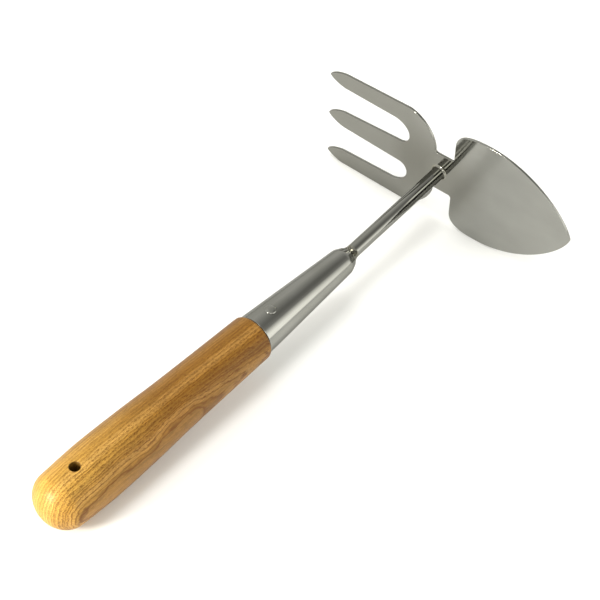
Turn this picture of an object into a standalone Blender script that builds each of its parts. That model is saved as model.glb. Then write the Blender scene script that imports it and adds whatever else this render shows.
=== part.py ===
# Hoe rake: a three-tine fork and a pointed hoe blade in one steel plate, on a round steel shank
# that runs into a tapered socket riveted to a turned ash grip. Metres, +Z up.
# It is modelled with the shank along X and the plate's grip side at X = 0, the fork towards +Y,
# the blade towards -Y and the rivet and hanging hole along Z. At the end it is laid down on the
# three points it rests on. "Back" is a distance from the plate towards the grip, "along" a
# distance from the shank towards the blade's point, and "half" a distance from the middle line.

import math

import bmesh
import bpy
from mathutils import Matrix, Vector

for old in list(bpy.data.objects):
    bpy.data.objects.remove(old)

MM = 0.001

# clearance between neighbouring pieces, and the thinnest edge left on a weld
GAP = 0.3 * MM
WELD_LIP = 0.3 * MM

# shank: round bar standing square on the plate
SHANK_R = 4.0 * MM
SHANK_LONG = 86.5 * MM
SHANK_TAIL = 6.5 * MM
SHANK_CHAMFER = 0.5 * MM

# socket: tapered tube with a swaged, solid end; the grip's line crosses the shank's line inside it
SOCKET_SHOULDER = 4.0 * MM
SOCKET_TAPER = 72.2 * MM
SOCKET_MOUTH_R = 12.15 * MM
SOCKET_NECK_R = 7.95 * MM
SOCKET_NECK_ROUND = 8.0 * MM
SOCKET_LAND = 2.35 * MM
SOCKET_WALL = 1.2 * MM
SOCKET_FLOOR = 9.5 * MM
SOCKET_EDGE = 0.4 * MM
SET_ANGLE = math.radians(2.1)
SET_POINT = 10.7 * MM

# hollow weld that blends the socket's end into the shank
NECK_WELD_LONG = 5.6 * MM
NECK_WELD_HOLLOW = 1.8

# bead between the shank and the plate
HEAD_WELD_WIDE = 1.2 * MM
HEAD_WELD_HIGH = 1.7 * MM

# turned grip: places are measured from its front, the hanging hole from its butt
GRIP_FRONT_R = 13.3 * MM
GRIP_FRONT_ROUND = 1.6 * MM
GRIP_MID = 59.0 * MM
GRIP_MID_R = 14.8 * MM
GRIP_RISE = 89.0 * MM
GRIP_RISE_R = 16.1 * MM
GRIP_SWELL = 116.0 * MM
GRIP_SWELL_R = 16.75 * MM
GRIP_BUTT = 140.0 * MM
GRIP_BUTT_R = 16.0 * MM
BUTT_DOME = 13.5 * MM
TENON_LONG = 50.7 * MM
TENON_CHAMFER = 1.0 * MM
HANG_HOLE = 23.5 * MM
HANG_HOLE_R = 3.0 * MM
HANG_HOLE_CHAMFER = 0.7 * MM

# rivet through the socket and the tenon, measured from the socket's mouth
RIVET = 12.4 * MM
RIVET_TURN = math.radians(3.5)
RIVET_R = 2.0 * MM
RIVET_HEAD_R = 3.2 * MM
RIVET_HEAD_HIGH = 1.1 * MM

# head plate
PLATE_THICK = 1.5 * MM
PLATE_EDGE = 0.2 * MM
NECK_HALF = 13.5 * MM
NECK_ROUND = 1.8 * MM
FORK_BACK = 4.0 * MM
FORK_SHOULDER = 20.0 * MM
FORK_SHOULDER_CURVE = 1.72
SLOT_END = 22.2 * MM
SLOT_MIDDLE = 14.0 * MM
SLOT_OUTER_LONG = 11.8 * MM
TINE_REACH = 79.7 * MM
TINE_POINT = 11.7 * MM
TINE_POINT_CURVE = 1.45
TINE_PITCH = 29.45 * MM
TINE_ROOT_HALF = 6.1 * MM
TINE_POINT_HALF = 5.2 * MM
MIDDLE_ROOT_HALF = 7.8 * MM
MIDDLE_POINT_HALF = 5.9 * MM
BLADE_BACK = 9.1 * MM
BLADE_BACK_HALF = 25.0 * MM
BLADE_SHOULDER = 20.5 * MM
BLADE_SHOULDER_CURVE = 2.7
BLADE_HALF = 37.15 * MM
BLADE_POINT = 57.7 * MM
BLADE_CURVE_ALONG = 1.9
BLADE_CURVE_ACROSS = 1.35
BLADE_BEND = 5.0 * MM
BLADE_BEND_LONG = 16.0 * MM
BLADE_TILT = math.radians(1.4)

# how finely round shapes are divided
GRIP_SIDES = 48
SHANK_SIDES = 32
RIVET_SIDES = 24
HOLE_SIDES = 24
BEND_STEPS = 4

# places worked out from the sizes above, all measured back from the plate
socket_neck = SHANK_LONG + SOCKET_SHOULDER
socket_mouth = socket_neck + SOCKET_TAPER
grip_front = socket_mouth + GAP
butt_end = grip_front + GRIP_BUTT + BUTT_DOME
rivet_back = socket_mouth - RIVET


def material(name, colour, roughness, metallic):
    mat = bpy.data.materials.new(name)
    mat.use_nodes = True
    shader = mat.node_tree.nodes["Principled BSDF"]
    shader.inputs["Base Color"].default_value = (*colour, 1.0)
    shader.inputs["Roughness"].default_value = roughness
    shader.inputs["Metallic"].default_value = metallic
    mat.diffuse_color = (*colour, 1.0)
    return mat


def add_object(name, bm, mat=None):
    bmesh.ops.recalc_face_normals(bm, faces=bm.faces)
    mesh = bpy.data.meshes.new(name)
    bm.to_mesh(mesh)
    bm.free()
    ob = bpy.data.objects.new(name, mesh)
    bpy.context.collection.objects.link(ob)
    if mat:
        mesh.materials.append(mat)
    return ob


def turned(name, profile, sides, mat=None, ring=False):
    """Turn (x, radius) points round X. A radius of 0 is a tip, and two in a row part the profile."""
    bm = bmesh.new()
    angles = [2.0 * math.pi * i / sides for i in range(sides)]
    loops = []
    for x, r in profile:
        if r == 0.0:
            loops.append([bm.verts.new((x, 0.0, 0.0))])
        else:
            loops.append([bm.verts.new((x, r * math.cos(a), r * math.sin(a))) for a in angles])
    pairs = list(zip(loops, loops[1:]))
    if ring:
        pairs.append((loops[-1], loops[0]))
    for near, far in pairs:
        if len(near) == 1 and len(far) == 1:
            continue
        for i in range(sides):
            j = (i + 1) % sides
            if len(near) == 1:
                bm.faces.new((near[0], far[i], far[j]))
            elif len(far) == 1:
                bm.faces.new((near[i], near[j], far[0]))
            else:
                bm.faces.new((near[i], near[j], far[j], far[i]))
    return add_object(name, bm, mat)


def superarc(centre, axis_a, axis_b, steps, power=2.0, power_b=None):
    """A quarter of a superellipse, from centre + axis_a to centre + axis_b."""
    points = []
    for i in range(steps + 1):
        turn = 0.5 * math.pi * i / steps
        a = math.cos(turn) ** (2.0 / power)
        b = math.sin(turn) ** (2.0 / (power_b or power))
        points.append(tuple(centre[k] + axis_a[k] * a + axis_b[k] * b for k in range(2)))
    return points


def rounded_corner(before, corner, after, radius, steps):
    """The arc that rounds a corner between two straight lines. A slerp of spokes has length 1."""
    here = Vector(corner)
    to_before = (Vector(before) - here).normalized()
    to_after = (Vector(after) - here).normalized()
    half_angle = 0.5 * to_before.angle(to_after)
    centre = here + (to_before + to_after).normalized() * radius / math.sin(half_angle)
    start = here + to_before * radius / math.tan(half_angle) - centre
    end = here + to_after * radius / math.tan(half_angle) - centre
    return [tuple(centre + radius * start.slerp(end, i / steps)) for i in range(steps + 1)]


def smooth_curve(stations, steps):
    """Points on a curve through the stations that never overshoots them."""
    slopes = [(b[1] - a[1]) / (b[0] - a[0]) for a, b in zip(stations, stations[1:])]
    tangents = [slopes[0]]
    for before, after in zip(slopes, slopes[1:]):
        tangents.append(0.0 if before * after <= 0.0 else 2.0 * before * after / (before + after))
    tangents.append(slopes[-1])
    points = []
    for k, (a, b) in enumerate(zip(stations, stations[1:])):
        wide = b[0] - a[0]
        for i in range(steps):
            t = i / steps
            value = a[1] * (2 * t**3 - 3 * t**2 + 1) + b[1] * (3 * t**2 - 2 * t**3)
            value += wide * tangents[k] * (t**3 - 2 * t**2 + t)
            value += wide * tangents[k + 1] * (t**3 - t**2)
            points.append((a[0] + wide * t, value))
    points.append(stations[-1])
    return points


def cut(target, cutter):
    """Take the cutter's shape out of the target, then remove the cutter."""
    cutter.hide_render = True
    cutter.display_type = "WIRE"
    boolean = target.modifiers.new("cut", "BOOLEAN")
    boolean.operation = "DIFFERENCE"
    boolean.solver = "EXACT"
    boolean.object = cutter
    depsgraph = bpy.context.evaluated_depsgraph_get()
    mesh = bpy.data.meshes.new_from_object(target.evaluated_get(depsgraph))
    target.modifiers.remove(boolean)
    uncut = target.data
    target.data = mesh
    bpy.data.meshes.remove(uncut)
    bpy.data.objects.remove(cutter)


def bore(target, place, radius, half_long, sides):
    """A round hole along the X axis of a place matrix."""
    profile = [(-half_long, 0.0), (-half_long, radius), (half_long, radius), (half_long, 0.0)]
    cutter = turned("bore_cutter", profile, sides)
    cutter.data.transform(place)
    cut(target, cutter)


def socket_outside(back):
    """Outer radius of the socket's cone."""
    return SOCKET_NECK_R + (SOCKET_MOUTH_R - SOCKET_NECK_R) * (back - socket_neck) / SOCKET_TAPER


def tenon_radius(back):
    return socket_outside(back) - SOCKET_WALL - GAP


# Z up becomes the turned pieces' X axis, for the rivet and the hanging hole
x_to_z = Matrix.Rotation(-0.5 * math.pi, 4, "Y")
rivet_place = Matrix.Translation((-rivet_back, 0.0, 0.0)) @ Matrix.Rotation(RIVET_TURN, 4, "X") @ x_to_z
hang_place = Matrix.Translation((-butt_end + HANG_HOLE, 0.0, 0.0)) @ x_to_z

# The grip and socket lean towards the fork from the shank's line.
set_point = Vector((-SHANK_LONG - SET_POINT, 0.0, 0.0))
lean = Matrix.Rotation(-SET_ANGLE, 4, "Z")
grip_line = Matrix.Translation(set_point) @ lean @ Matrix.Translation(-set_point)


def make_wood_handle():
    ash = material("ash", (0.56, 0.29, 0.10), 0.5, 0.0)
    tenon_end = grip_front - TENON_LONG
    round_start = grip_front + GRIP_FRONT_ROUND
    profile = [(-tenon_end, 0.0), (-tenon_end, tenon_radius(tenon_end) - TENON_CHAMFER)]
    profile.append((-tenon_end - TENON_CHAMFER, tenon_radius(tenon_end + TENON_CHAMFER)))
    profile.append((-grip_front, tenon_radius(grip_front)))
    round_centre = (-round_start, GRIP_FRONT_R - GRIP_FRONT_ROUND)
    profile += superarc(round_centre, (GRIP_FRONT_ROUND, 0.0), (0.0, GRIP_FRONT_ROUND), 4)
    stations = [
        (-round_start, GRIP_FRONT_R),
        (-grip_front - GRIP_MID, GRIP_MID_R),
        (-grip_front - GRIP_RISE, GRIP_RISE_R),
        (-grip_front - GRIP_SWELL, GRIP_SWELL_R),
        (-grip_front - GRIP_BUTT, GRIP_BUTT_R),
    ]
    profile += smooth_curve(stations, 5)[1:]
    dome = superarc((-grip_front - GRIP_BUTT, 0.0), (0.0, GRIP_BUTT_R), (-BUTT_DOME, 0.0), 9)
    profile += dome[1:-1] + [(-butt_end, 0.0)]
    handle = turned("wood_handle", profile, GRIP_SIDES, ash)

    beyond = GRIP_SWELL_R + HANG_HOLE_CHAMFER
    hole = [(-beyond, 0.0), (-beyond, HANG_HOLE_R + 2.0 * HANG_HOLE_CHAMFER)]
    hole.append((-beyond + 3.0 * HANG_HOLE_CHAMFER, HANG_HOLE_R))
    hole += [(-x, r) for x, r in reversed(hole)]
    hole_cutter = turned("hole_cutter", hole, HOLE_SIDES)
    hole_cutter.data.transform(hang_place)
    cut(handle, hole_cutter)
    bore(handle, rivet_place, RIVET_R + GAP, 2.0 * SOCKET_MOUTH_R, HOLE_SIDES)
    return handle


def make_handle_socket():
    steel = material("socket_steel", (0.62, 0.62, 0.60), 0.22, 1.0)
    floor_back = SHANK_LONG + SOCKET_FLOOR
    floor_r = socket_outside(floor_back) - SOCKET_WALL
    mouth = (-socket_mouth + SOCKET_EDGE, SOCKET_MOUTH_R)
    neck = (-socket_neck, SOCKET_NECK_R)
    end = (-SHANK_LONG, SHANK_R + SOCKET_LAND)
    profile = [(-socket_mouth, SOCKET_MOUTH_R - SOCKET_WALL), (-socket_mouth, SOCKET_MOUTH_R - SOCKET_EDGE)]
    profile += [mouth] + rounded_corner(mouth, neck, end, SOCKET_NECK_ROUND, 5)
    profile += [end, (end[0], 0.0), (-floor_back, 0.0)]
    profile += [(-floor_back, floor_r - SOCKET_EDGE), (-floor_back - SOCKET_EDGE, floor_r)]
    socket = turned("handle_socket", profile, GRIP_SIDES, steel, ring=True)
    bore(socket, rivet_place, RIVET_R + GAP, 2.0 * SOCKET_MOUTH_R, HOLE_SIDES)
    return socket


def make_socket_rivet():
    steel = material("rivet_steel", (0.55, 0.55, 0.54), 0.3, 1.0)
    seat = socket_outside(rivet_back) + GAP
    head = superarc((seat, 0.0), (0.0, RIVET_HEAD_R), (RIVET_HEAD_HIGH, 0.0), 5)
    half = [(seat, RIVET_R)] + head[:-1] + [(seat + RIVET_HEAD_HIGH, 0.0)]
    profile = [(-x, r) for x, r in reversed(half)] + half
    rivet = turned("socket_rivet", profile, RIVET_SIDES, steel)
    rivet.data.transform(rivet_place)
    return rivet


def make_shank_rod():
    steel = material("shank_steel", (0.60, 0.60, 0.58), 0.2, 1.0)
    tail = -SHANK_LONG - SOCKET_FLOOR - SHANK_TAIL
    profile = [(tail, 0.0), (tail, SHANK_R - SHANK_CHAMFER), (tail + SHANK_CHAMFER, SHANK_R)]
    profile += [(-GAP, SHANK_R), (-GAP, 0.0)]
    return turned("shank_rod", profile, SHANK_SIDES, steel)


def make_socket_weld(steel):
    """Its back is centred on the socket's end and parallel to it, its front on the shank."""
    inner = SHANK_R + GAP
    back = -SHANK_LONG + GAP
    drop = SOCKET_LAND - GAP - WELD_LIP
    steps = 6
    profile = [(back, inner)]
    for i in range(steps + 1):
        t = i / steps
        radius = inner + WELD_LIP + drop * (1.0 - t) ** NECK_WELD_HOLLOW
        profile.append((back + NECK_WELD_LONG * t, radius))
    profile.append((back + NECK_WELD_LONG, inner))
    weld = turned("socket_weld", profile, SHANK_SIDES, steel, ring=True)
    slope = math.tan(SET_ANGLE)
    for v in weld.data.vertices:
        on_surface = math.hypot(v.co.y, v.co.z) > inner + 0.5 * WELD_LIP
        share = 1.0 - (v.co.x - back) / NECK_WELD_LONG
        v.co.x += share * slope * v.co.y
        if on_surface:
            v.co.y -= share * slope * SET_POINT
    return weld


def make_head_weld(steel):
    inner = SHANK_R + GAP
    reach = HEAD_WELD_HIGH - GAP
    spread = HEAD_WELD_WIDE - WELD_LIP
    corner = (-HEAD_WELD_HIGH, inner + HEAD_WELD_WIDE)
    profile = [(-GAP, inner)] + superarc(corner, (reach, 0.0), (0.0, -spread), 5)
    profile.append((-HEAD_WELD_HIGH, inner))
    return turned("head_weld", profile, SHANK_SIDES, steel, ring=True)


def tine_point(centre, half_wide):
    """A blunt pointed tine end, round from the side away from the middle line."""
    start = (TINE_POINT - TINE_REACH, centre)
    far = superarc(start, (0.0, half_wide), (-TINE_POINT, 0.0), 6, TINE_POINT_CURVE)
    near = superarc(start, (-TINE_POINT, 0.0), (0.0, -half_wide), 6, TINE_POINT_CURVE)
    return far, near[1:]


def plate_outline():
    """(along, half) points of one half, from the blade's point to the middle tine's, then mirrored."""
    blade_point = (BLADE_POINT, 0.0)
    widest = BLADE_BACK + BLADE_SHOULDER
    curve = (BLADE_CURVE_ALONG, BLADE_CURVE_ACROSS)
    half = superarc((widest, 0.0), blade_point, (0.0, BLADE_HALF), 16, *curve)
    corner = (widest, BLADE_BACK_HALF)
    shoulder = (-BLADE_SHOULDER, 0.0)
    half += superarc(corner, (0.0, BLADE_HALF - BLADE_BACK_HALF), shoulder, 9, BLADE_SHOULDER_CURVE)[1:]

    neck_edge = NECK_HALF + NECK_ROUND
    half += superarc((BLADE_BACK - NECK_ROUND, neck_edge), (NECK_ROUND, 0.0), (0.0, -NECK_ROUND), 4)
    half += superarc((NECK_ROUND - FORK_BACK, neck_edge), (0.0, -NECK_ROUND), (-NECK_ROUND, 0.0), 4)
    fork_corner = (-FORK_BACK - FORK_SHOULDER, neck_edge)
    rise = (0.0, TINE_PITCH + TINE_ROOT_HALF - neck_edge)
    half += superarc(fork_corner, (FORK_SHOULDER, 0.0), rise, 11, FORK_SHOULDER_CURVE)[1:]

    far, near = tine_point(TINE_PITCH, TINE_POINT_HALF)
    half += far + near
    outer_half = TINE_PITCH - TINE_ROOT_HALF - SLOT_MIDDLE
    outer_start = (-SLOT_END - SLOT_OUTER_LONG, SLOT_MIDDLE)
    half += superarc(outer_start, (0.0, outer_half), (SLOT_OUTER_LONG, 0.0), 8)
    inner_r = SLOT_MIDDLE - MIDDLE_ROOT_HALF
    inner_start = (-SLOT_END - inner_r, SLOT_MIDDLE)
    half += superarc(inner_start, (inner_r, 0.0), (0.0, -inner_r), 6)[1:]
    half += tine_point(0.0, MIDDLE_POINT_HALF)[0]
    return half + [(along, -side) for along, side in reversed(half[1:-1])]


def set_back(along):
    """How far the plate leans away from the grip, past a soft bend between neck and blade."""
    reach = max(0.0, along - BLADE_BEND)
    bent = min(reach, BLADE_BEND_LONG)
    return math.tan(BLADE_TILT) * (0.5 * bent * bent / BLADE_BEND_LONG + reach - bent)


def make_head():
    steel = material("plate_steel", (0.52, 0.52, 0.49), 0.25, 1.0)
    bm = bmesh.new()
    front = bm.faces.new([bm.verts.new((0.0, -along, side)) for along, side in plate_outline()])
    grown = bmesh.ops.extrude_face_region(bm, geom=[front])
    for v in grown["geom"]:
        if isinstance(v, bmesh.types.BMVert):
            v.co.x = PLATE_THICK
    bmesh.ops.recalc_face_normals(bm, faces=bm.faces)
    rims = [e for e in bm.edges if e.verts[0].co.x == e.verts[1].co.x]
    bmesh.ops.bevel(bm, geom=rims, offset=PLATE_EDGE, offset_type="OFFSET", segments=1, affect="EDGES")

    across = Vector((0.0, 1.0, 0.0))
    for i in range(BEND_STEPS + 1):
        line = Vector((0.0, -BLADE_BEND - BLADE_BEND_LONG * i / BEND_STEPS, 0.0))
        every = bm.verts[:] + bm.edges[:] + bm.faces[:]
        bmesh.ops.bisect_plane(bm, geom=every, plane_co=line, plane_no=across, dist=1e-7)
    for v in bm.verts:
        v.co.x += set_back(-v.co.y)
    return add_object("hoe_rake_head", bm, steel)


def lying_place(handle, head, parts):
    """Rest the tool on the grip, the blade's lower edge and the lower tine, above the origin."""
    place = Matrix.Identity(4)
    for _ in range(8):
        grip_low = min((place @ v.co for v in handle.data.vertices), key=lambda c: c.z)
        blade = [place @ v.co for v in head.data.vertices if v.co.y < 0.0]
        fork = [place @ v.co for v in head.data.vertices if v.co.y > 0.0]
        blade_low = min(blade, key=lambda c: c.z)
        fork_low = min(fork, key=lambda c: c.z)
        up = (blade_low - grip_low).cross(fork_low - grip_low).normalized()
        if up.z < 0.0:
            up.negate()
        place = up.rotation_difference(Vector((0.0, 0.0, 1.0))).to_matrix().to_4x4() @ place
    corners = [place @ v.co for ob in parts for v in ob.data.vertices]
    low = [min(c[k] for c in corners) for k in range(3)]
    high = [max(c[k] for c in corners) for k in range(3)]
    settle = Vector((-0.5 * (low[0] + high[0]), -0.5 * (low[1] + high[1]), -low[2]))
    return Matrix.Translation(settle) @ place


wood_handle = make_wood_handle()
handle_socket = make_handle_socket()
socket_rivet = make_socket_rivet()
for on_grip_line in (wood_handle, handle_socket, socket_rivet):
    on_grip_line.data.transform(grip_line)
socket_end = Matrix.Translation((-SHANK_LONG, 0.0, 0.0))
bore(handle_socket, socket_end, SHANK_R + GAP, 2.0 * SOCKET_FLOOR, SHANK_SIDES)

shank_rod = make_shank_rod()
weld_steel = material("weld_steel", (0.58, 0.58, 0.57), 0.3, 1.0)
socket_weld = make_socket_weld(weld_steel)
head_weld = make_head_weld(weld_steel)
hoe_rake_head = make_head()

pieces = [wood_handle, handle_socket, socket_rivet, shank_rod, socket_weld, head_weld, hoe_rake_head]
laid = lying_place(wood_handle, hoe_rake_head, pieces)
for piece in pieces:
    piece.data.transform(laid)
    piece.data.shade_smooth()
    piece.data.set_sharp_from_angle(angle=math.radians(32.0))
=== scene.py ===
# %% [markdown]
# # A hoe rake with an ash grip and a polished steel head
#
# The tool is a three-tine fork and a pointed hoe blade in one plate, on a round steel shank. The
# shank runs into a tapered ferrule, and the ferrule is riveted to a turned ash grip. The packed
# model holds a plain solid for each piece, so this first step loads it and keeps its box.

# %% Load the frame
import math

import bmesh
import bpy
import numpy as np
from mathutils import Matrix, Vector


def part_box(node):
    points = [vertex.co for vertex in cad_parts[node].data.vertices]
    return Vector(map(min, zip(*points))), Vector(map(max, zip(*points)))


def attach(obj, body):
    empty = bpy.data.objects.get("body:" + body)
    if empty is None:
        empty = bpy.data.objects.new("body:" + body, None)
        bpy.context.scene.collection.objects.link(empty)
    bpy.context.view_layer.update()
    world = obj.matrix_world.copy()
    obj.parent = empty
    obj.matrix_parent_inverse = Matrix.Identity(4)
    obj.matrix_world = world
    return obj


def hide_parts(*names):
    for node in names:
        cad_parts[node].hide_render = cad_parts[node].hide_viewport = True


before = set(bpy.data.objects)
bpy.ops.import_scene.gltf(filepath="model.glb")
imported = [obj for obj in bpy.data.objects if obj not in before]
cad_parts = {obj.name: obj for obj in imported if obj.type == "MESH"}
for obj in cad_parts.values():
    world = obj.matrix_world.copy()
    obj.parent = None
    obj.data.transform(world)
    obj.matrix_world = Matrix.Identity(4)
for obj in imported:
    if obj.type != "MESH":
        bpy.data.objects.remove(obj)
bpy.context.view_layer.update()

print("nodes in the frame:", ", ".join(sorted(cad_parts)))

# %% [markdown]
# ## Where the tool lies
#
# The tool rests on three points, so nothing on it is quite level, and the refined pieces need its
# own axes. They could be typed in, but they can also be read from the solids: the shank is a
# straight bar, so the direction in which its points spread most is its axis, and the blade's
# point gives the direction of the plate. X runs along the shank to the head, Y points along the
# fork, and the plate's grip side is X = 0.

# %% Read the solids' points
DECIMALS = 7


def node_points(node):
    """A node's points, each once, because its mesh is loose triangles."""
    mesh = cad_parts[node].data
    flat = np.empty(3 * len(mesh.vertices))
    mesh.vertices.foreach_get("co", flat)
    return np.unique(flat.reshape(-1, 3).round(DECIMALS), axis=0)


shank_points = node_points("shank_rod")
plate_points = node_points("hoe_rake_head")
print("points:", len(shank_points), "on the shank and", len(plate_points), "on the plate")

# %% The tool's axes


def main_axis(points):
    """The direction in which points spread most, on its +X side."""
    spread = points - points.mean(axis=0)
    axis = np.linalg.svd(spread, full_matrices=False)[2][0]
    return Vector(axis if axis[0] > 0.0 else -axis)


x_axis = main_axis(shank_points)
on_shank = Vector(shank_points.mean(axis=0))
plate_face = min(Vector(p).dot(x_axis) for p in plate_points)
tool_origin = on_shank + x_axis * (plate_face - on_shank.dot(x_axis))

blade_tip = Vector(min(plate_points.tolist(), key=lambda p: p[1]))
to_fork = tool_origin - blade_tip
y_axis = (to_fork - x_axis * to_fork.dot(x_axis)).normalized()
z_axis = x_axis.cross(y_axis)

tool = Matrix.Translation(tool_origin) @ Matrix((x_axis, y_axis, z_axis)).transposed().to_4x4()
print("plate centre in mm:", [round(1000 * c, 2) for c in tool_origin])
print("shank points along", [round(c, 4) for c in x_axis])

# %% [markdown]
# ## The camera
#
# The photograph was taken from above the butt's right side, from about a metre away with a long
# lens. A camera is easier to read as an aim point, a distance and three angles than as a matrix:
# it looks along an azimuth and down at an elevation, and is rolled a little.

# %% Camera
MM = 0.001
AIM = Vector((22.0, -1.4, 36.3)) * MM
DISTANCE = 1012.2 * MM
AZIMUTH = math.radians(33.78)
DOWNWARD = math.radians(45.74)
ROLL = math.radians(6.64)
LENS_MM = 114.97

forward = math.cos(DOWNWARD)
look = Vector((math.cos(AZIMUTH) * forward, math.sin(AZIMUTH) * forward, -math.sin(DOWNWARD)))
camera = bpy.data.objects.new("camera", bpy.data.cameras.new("camera"))
camera.data.lens = LENS_MM
turned_to = look.to_track_quat("-Z", "Y").to_matrix().to_4x4() @ Matrix.Rotation(ROLL, 4, "Z")
camera.matrix_world = Matrix.Translation(AIM - look * DISTANCE) @ turned_to
bpy.context.scene.collection.objects.link(camera)
bpy.context.scene.camera = camera
bpy.context.scene.view_settings.view_transform = "Standard"
print("camera at", [round(c, 3) for c in camera.location])

# %% [markdown]
# ## The studio
#
# Bare polished steel has hardly any colour of its own: it shows what stands round it. A ferrule
# is a curved mirror, so its bands can be read as a map of the room: a pale floor on both sides, a
# bright window low on its right, a dim ceiling, and pale walls on its left. The shank beside the
# plate mirrors the other half of the room, with two lamps beside the camera. The same room is
# made here with a white floor, a sky that is a function of direction, and soft area lights.
#
# Colours are written as the hex values that a paint program shows. A shader wants linear light,
# so one function turns them.

# %% Colours


def linear(hex_colour):
    channels = [int(hex_colour[i : i + 2], 16) / 255.0 for i in (1, 3, 5)]
    light = [c / 12.92 if c <= 0.04045 else ((c + 0.055) / 1.055) ** 2.4 for c in channels]
    return (*light, 1.0)


print("mid grey is", [round(c, 3) for c in linear("#808080")])

# %% Floor
FLOOR_HALF = 3.0
FLOOR_WHITE = "#FAFAF8"


def new_object(name, bm):
    mesh = bpy.data.meshes.new(name)
    bm.to_mesh(mesh)
    bm.free()
    ob = bpy.data.objects.new(name, mesh)
    bpy.context.scene.collection.objects.link(ob)
    return ob


bm = bmesh.new()
bmesh.ops.create_grid(bm, x_segments=2, y_segments=2, size=FLOOR_HALF)
floor = new_object("paper_floor", bm)
paper = bpy.data.materials.new("white_paper")
paper.use_nodes = True
paper_shader = paper.node_tree.nodes["Principled BSDF"]
paper_shader.inputs["Base Color"].default_value = linear(FLOOR_WHITE)
paper_shader.inputs["Roughness"].default_value = 0.9
paper_shader.inputs["Specular IOR Level"].default_value = 0.0
floor.data.materials.append(paper)
print("floor is", 2 * FLOOR_HALF, "m across")

# %% [markdown]
# ## The room as a sky
#
# A picture of a room could be wrapped round the tool, but a short table does it too: each part
# of the room has a direction, a brightness and a size, and fades into the walls. Every node, here
# and in all trees that follow, is added by one small function. It sets the node's own settings,
# then fills its inputs, and a value that is a socket of another node becomes a link.

# %% Adding a node


def add(tree, kind, inputs=(), **settings):
    """Add a node. inputs maps a socket's name or number to a value or to another node's socket."""
    node = tree.nodes.new(kind)
    for name, value in settings.items():
        setattr(node, name, value)
    for key, value in dict(inputs).items():
        socket = node.inputs[key]
        if isinstance(value, bpy.types.NodeSocket):
            tree.links.new(value, socket)
        else:
            socket.default_value = value
    return node


world = bpy.data.worlds.new("studio")
world.use_nodes = True
sky = world.node_tree
sky.nodes.clear()
direction = add(sky, "ShaderNodeTexCoord").outputs["Generated"]
print("the sky starts from", direction.node.name)

# %% The parts of the room
WALLS = 0.9
# Each row: what it is, its direction, its brightness, full within and gone beyond these degrees.
ROOM = [
    ("dim ceiling", (0.48, -0.28, 0.83), 0.33, 6.0, 52.0),
    ("window on the right", (0.30, -0.93, 0.20), 2.6, 11.0, 35.0),
    ("dark corner behind, right", (-0.58, -0.80, 0.10), 0.10, 17.0, 28.0),
    ("lamp right of the camera", (-0.61, -0.60, 0.52), 5.5, 6.0, 11.0),
    ("dark above the camera", (-0.63, -0.27, 0.72), 0.2, 10.0, 15.0),
    ("lamp left of the camera", (-0.62, 0.04, 0.78), 4.2, 6.0, 11.0),
]

glow = WALLS
for name, toward, bright, full_within, gone_beyond in ROOM:
    aimed = {0: direction, 1: Vector(toward).normalized()}
    cosine = add(sky, "ShaderNodeVectorMath", aimed, operation="DOT_PRODUCT").outputs["Value"]
    angle = add(sky, "ShaderNodeMath", {0: cosine}, operation="ARCCOSINE").outputs[0]
    reach = {"Value": angle, "From Min": math.radians(gone_beyond)}
    reach["From Max"] = math.radians(full_within)
    share = add(sky, "ShaderNodeMapRange", reach).outputs["Result"]
    mixed = {"Factor": share, "A": glow, "B": bright}
    glow = add(sky, "ShaderNodeMix", mixed, label=name).outputs["Result"]
print("the room has", len(ROOM), "parts besides its walls")

# %% The room's light
# The room darkens towards the floor, over the lowest part of its height.
HORIZON_SHADE = 0.35
HORIZON_HIGH = 0.07
SKY_WHITE = "#FFFEF8"

height = add(sky, "ShaderNodeSeparateXYZ", {0: direction}).outputs["Z"]
near_floor = {"Value": height, "From Max": HORIZON_HIGH, "To Min": HORIZON_SHADE, "To Max": 1.0}
skirting = add(sky, "ShaderNodeMapRange", near_floor).outputs["Result"]
glow = add(sky, "ShaderNodeMath", {0: glow, 1: skirting}, operation="MULTIPLY").outputs[0]
sky_light = add(sky, "ShaderNodeBackground", {"Strength": glow, "Color": linear(SKY_WHITE)})
add(sky, "ShaderNodeOutputWorld", {"Surface": sky_light.outputs[0]})
bpy.context.scene.world = world
print("nodes in the sky:", len(sky.nodes))

# %% [markdown]
# ## Soft lights
#
# Two wide lights over the tool light the wood and the floor. The ceiling that the steel mirrors
# is dim, so they are kept out of reflections. A small lamp low beside the butt gives the soft
# bright spot on its dome. All three are discs, as a square lamp's highlight would show corners.

# %% Hang the lights
TOOL_MIDDLE = (0.0, 0.0, 0.0)
BUTT_SIDE = (-0.15, 0.0, 0.025)


def soft_light(name, place, aim, size, power, colour="#FFFFFF"):
    lamp = bpy.data.lights.new(name, "AREA")
    lamp.shape = "DISK"
    lamp.size = size
    lamp.energy = power
    lamp.color = linear(colour)[:3]
    ob = bpy.data.objects.new(name, lamp)
    ob.location = place
    ob.rotation_euler = (Vector(aim) - Vector(place)).to_track_quat("-Z", "Y").to_euler()
    bpy.context.scene.collection.objects.link(ob)
    return ob


overhead = soft_light("overhead", place=(0.0, 0.14, 1.5), aim=TOOL_MIDDLE, size=0.6, power=7.5)
wide = soft_light("wide_overhead", place=(0.2, 0.0, 1.4), aim=TOOL_MIDDLE, size=2.6, power=4.0)
overhead.visible_glossy = False
wide.visible_glossy = False
beside = (-0.38, 0.09, 0.115)
soft_light("beside_the_butt", place=beside, aim=BUTT_SIDE, size=0.08, power=1.2, colour="#FFFAF0")

# %% [markdown]
# ## Turning pieces on a lathe
#
# The grip, the ferrule, the shank and the welds are all round about a line, as turned or drawn
# pieces are. A Screw modifier or bmesh's spin could turn a profile. Geometry Nodes do it with a
# sweep: a profile swept along a small circle is a lathe, and the tree can then shade the piece
# and hand over its material in one place. The circle is the spindle, so its radius is taken off
# the profile first, and points that meet on the axis are merged.

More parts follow.
